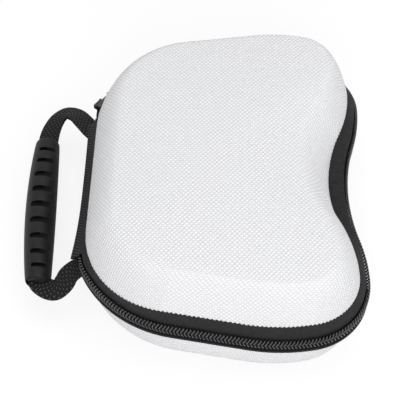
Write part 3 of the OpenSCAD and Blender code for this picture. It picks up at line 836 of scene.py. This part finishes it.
def make_grip():
    """A moulded rubber barrel: rounded ends, a flat bore, nine finger slots on each face."""
    end_round, ends = 1.5, 7
    profile = []
    for k in range(ends):
        a = 90 * k / (ends - 1)
        profile.append((barrel_radius(GRIP_L / 2) - end_round * (1 - sind(a)),
                        -GRIP_L / 2 + end_round * (1 - cosd(a))))
    straight = GRIP_L - 2 * end_round
    profile += [(barrel_radius(y), y) for y in (straight * (k / 30 - 0.5) for k in range(1, 30))]
    profile += [(r, -y) for r, y in reversed(profile[:ends])]
    around = 72
    rows = [[(grip_axis(y + GRIP_Y) + r * sind(360 * k / around), y + GRIP_Y,
              GRIP_Z + r * cosd(360 * k / around)) for k in range(around)] for r, y in profile]
    grip = loft("handle_barrel", rows, cap_ends=True)
    tidy_normals(grip)
    reach = GRIP_L / 2 + 2
    bore = loft("bore", [[(grip_axis(y + GRIP_Y) + dx * BORE_W / 2, y + GRIP_Y, GRIP_Z + dz * BORE_H / 2)
                          for dx, dz in ((-1, -1), (1, -1), (1, 1), (-1, 1))]
                         for y in (-reach + k * reach / 10 for k in range(21))], cap_ends=True)
    tidy_normals(bore)
    cutters = [bore]
    cutter_h = 6
    for y in SLOT_PLACES:
        small = (y / SLOT_PLACES[0]) ** 2
        slot_w, slot_l = SLOT_W - 1.2 * small, SLOT_L - 3.1 * small
        for s in (1, -1):
            middle = ((grip_axis(y + GRIP_Y) + SLOT_ASIDE) * MM, (y + GRIP_Y) * MM,
                      (GRIP_Z + s * (barrel_radius(y) - SLOT_DEPTH + cutter_h / 2)) * MM)
            bpy.ops.mesh.primitive_cylinder_add(vertices=20, radius=slot_w / 2 * MM,
                                                depth=cutter_h * MM, location=middle)
            cutter = bpy.context.object
            stretch = (slot_l - slot_w) / 2 * MM
            for v in cutter.data.vertices:
                v.co.x += math.copysign(stretch, v.co.x) if abs(v.co.x) > 1e-7 else 0
            cutters.append(cutter)
    bpy.ops.object.select_all(action="DESELECT")
    for cutter in cutters:
        cutter.select_set(True)
    bpy.context.view_layer.objects.active = bore
    bpy.ops.object.join()
    bpy.ops.object.transform_apply(location=True, rotation=True, scale=True)
    apply_modifier(grip, "BOOLEAN", object=bore, operation="DIFFERENCE", solver="EXACT", use_self=True)
    bpy.data.objects.remove(bore)
    apply_modifier(grip, "BEVEL", width=0.35 * MM, segments=2, limit_method="ANGLE",
                   angle_limit=math.radians(50))
    smooth_by_angle(grip, 40)
    dress(grip, "grip_rubber", RUBBER, SLOT_PAINTED_SHADE_RUBBER)
    # Faces sunk in the finger slots take the darker rubber, which is painted shade.
    for face in grip.data.polygons:
        x, y, z = (c / MM for c in face.center)
        along = min(abs(y - GRIP_Y), GRIP_L / 2)
        sunk = math.hypot(x - grip_axis(y), z - GRIP_Z) < barrel_radius(along) - 0.4
        face.material_index = 1 if sunk and along < GRIP_L / 2 - 0.3 else 0
    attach(grip, "base")
    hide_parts("handle_grip")


# Carried-over solids and the inside

def dress_frame_nodes():
    for names, material in (
            (("slider_rear", "slider_front"), LACQUER), (("pull_rear", "pull_front"), COATING),
            (("lower_binding", "upper_binding"), BINDING), (("net_hem",), ELASTIC)):
        for name in names:
            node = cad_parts[name]
            if not node.material_slots:
                node.data.materials.append(material)
            for holder in node.material_slots:
                holder.material = material


NET_Z = ZIP_Z + UPPER_TAPE_H + 7 + 2 * SEAM_GAP
NET_EDGE_X, NET_T, MESH_CELL, YARN_W = 8.0, 0.8, 3.2, 0.5


def make_net():
    """The lid's net pocket: a diamond net of yarn with a bound edge."""
    border = ring(stand_in(between(UPPER_RIM, LID_EDGE, 0.05), WALL + 4 * SEAM_GAP), SHELL_STEPS)
    half_y = {}
    half_cell = MESH_CELL / 2
    for x, y, _ in border:
        key = round((x - SPINE_X) / half_cell)
        half_y[key] = max(half_y.get(key, 0), abs(y))

    def inside(x, y):
        key = round((x - SPINE_X) / half_cell)
        return key in half_y and abs(y) < half_y[key] and x < NET_EDGE_X

    points, faces, index = [], [], {}

    def corner(i, j):
        if (i, j) not in index:
            index[i, j] = len(points)
            points.append((SPINE_X + i * half_cell, j * half_cell, NET_Z + NET_T / 2))
        return index[i, j]

    for i in range(1, 60):
        for j in range(-52, 53):
            around = [(i - 1, j), (i, j - 1), (i + 1, j), (i, j + 1)]
            if (i + j) % 2 and all(inside(SPINE_X + a * half_cell, b * half_cell) for a, b in around):
                faces.append(tuple(corner(a, b) for a, b in around))
    net = new_piece("lid_net", points, faces, smooth=True)
    apply_modifier(net, "WIREFRAME", thickness=YARN_W * MM, use_even_offset=False, use_boundary=True)
    dress(net, "net", NET)
    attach(net, "lid")
    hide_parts("net_pocket")


# Camera, light and floor

def make_camera():
    view_turn, view_down, view_range = 1.44, 52.69, 555.5
    focal_px, image_px, sensor = 1143.0, 400.0, 36.0
    aim = (-11.75, 3.1, ZIP_Z)
    data = bpy.data.cameras.new("camera")
    camera = bpy.data.objects.new("camera", data)
    bpy.context.scene.collection.objects.link(camera)
    level_range = view_range * cosd(view_down)
    camera.location = ((aim[0] + level_range * sind(view_turn)) * MM,
                       (aim[1] - level_range * cosd(view_turn)) * MM,
                       (aim[2] + view_range * sind(view_down)) * MM)
    camera.rotation_euler = (math.radians(90 - view_down), 0, math.radians(view_turn))
    data.sensor_width = sensor
    data.lens = focal_px / image_px * sensor
    principal_y = 186.5
    data.shift_y = (principal_y - image_px / 2) / image_px
    data.clip_start, data.clip_end = 0.01, 20
    bpy.context.scene.camera = camera


def area_light(name, place, aim, size, power):
    data = bpy.data.lights.new(name, "AREA")
    data.shape, data.size, data.energy = "DISK", size, power
    lamp = bpy.data.objects.new(name, data)
    bpy.context.scene.collection.objects.link(lamp)
    lamp.location = place
    lamp.rotation_euler = (Vector(aim) - Vector(place)).to_track_quat("-Z", "Y").to_euler()
    return lamp


def make_light():
    area_light("key", (0.05, -0.8, 0.65), (0, 0, 0.03), 0.7, 5.6)
    area_light("top", (0.05, 0.1, 1.1), (0, 0, 0.03), 1.0, 4.2)
    area_light("fill", (0.8, 0.1, 0.45), (0, 0, 0.03), 0.5, 0.8)
    world = bpy.data.worlds.new("studio")
    bpy.context.scene.world = world
    world.use_nodes = True
    tree = world.node_tree
    background = tree.nodes["Background"]
    background.inputs["Color"].default_value = (1, 1, 1, 1)
    path = tree.nodes.new("ShaderNodeLightPath")
    seen = tree.nodes.new("ShaderNodeMath")
    seen.operation = "ADD"
    seen.use_clamp = True
    tree.links.new(path.outputs["Is Camera Ray"], seen.inputs[0])
    mirrored = tree.nodes.new("ShaderNodeMath")
    mirrored.operation = "ADD"
    tree.links.new(path.outputs["Is Glossy Ray"], mirrored.inputs[0])
    tree.links.new(path.outputs["Is Transmission Ray"], mirrored.inputs[1])
    tree.links.new(mirrored.outputs[0], seen.inputs[1])
    room_light = 0.58
    strength = tree.nodes.new("ShaderNodeMapRange")
    strength.inputs["To Min"].default_value = room_light
    strength.inputs["To Max"].default_value = 1.0
    tree.links.new(seen.outputs[0], strength.inputs["Value"])
    tree.links.new(strength.outputs["Result"], background.inputs["Strength"])


def make_floor():
    bpy.ops.mesh.primitive_plane_add(size=6, location=(0, 0, 0))
    floor = bpy.context.object
    floor.name = "floor"
    mat = bpy.data.materials.new("pale_floor")
    mat.use_nodes = True
    tree = mat.node_tree
    shader = tree.nodes["Principled BSDF"]
    shader.inputs["Base Color"].default_value = (0.9, 0.9, 0.9, 1)
    shader.inputs["Roughness"].default_value = 0.9
    glow = tree.nodes.new("ShaderNodeEmission")
    mix = tree.nodes.new("ShaderNodeMixShader")
    path = tree.nodes.new("ShaderNodeLightPath")
    share = tree.nodes.new("ShaderNodeMath")
    share.operation = "MULTIPLY"
    share.inputs[1].default_value = 0.8
    tree.links.new(path.outputs["Is Camera Ray"], share.inputs[0])
    tree.links.new(share.outputs[0], mix.inputs[0])
    tree.links.new(shader.outputs[0], mix.inputs[1])
    tree.links.new(glow.outputs[0], mix.inputs[2])
    tree.links.new(mix.outputs[0], tree.nodes["Material Output"].inputs["Surface"])
    floor.data.materials.append(mat)


make_camera()
make_light()
make_floor()
make_shells()
make_tapes()
make_coils()
make_spine()
make_webbing()
make_grip()
make_net()
dress_frame_nodes()
bpy.context.scene.view_settings.view_transform = "Standard"
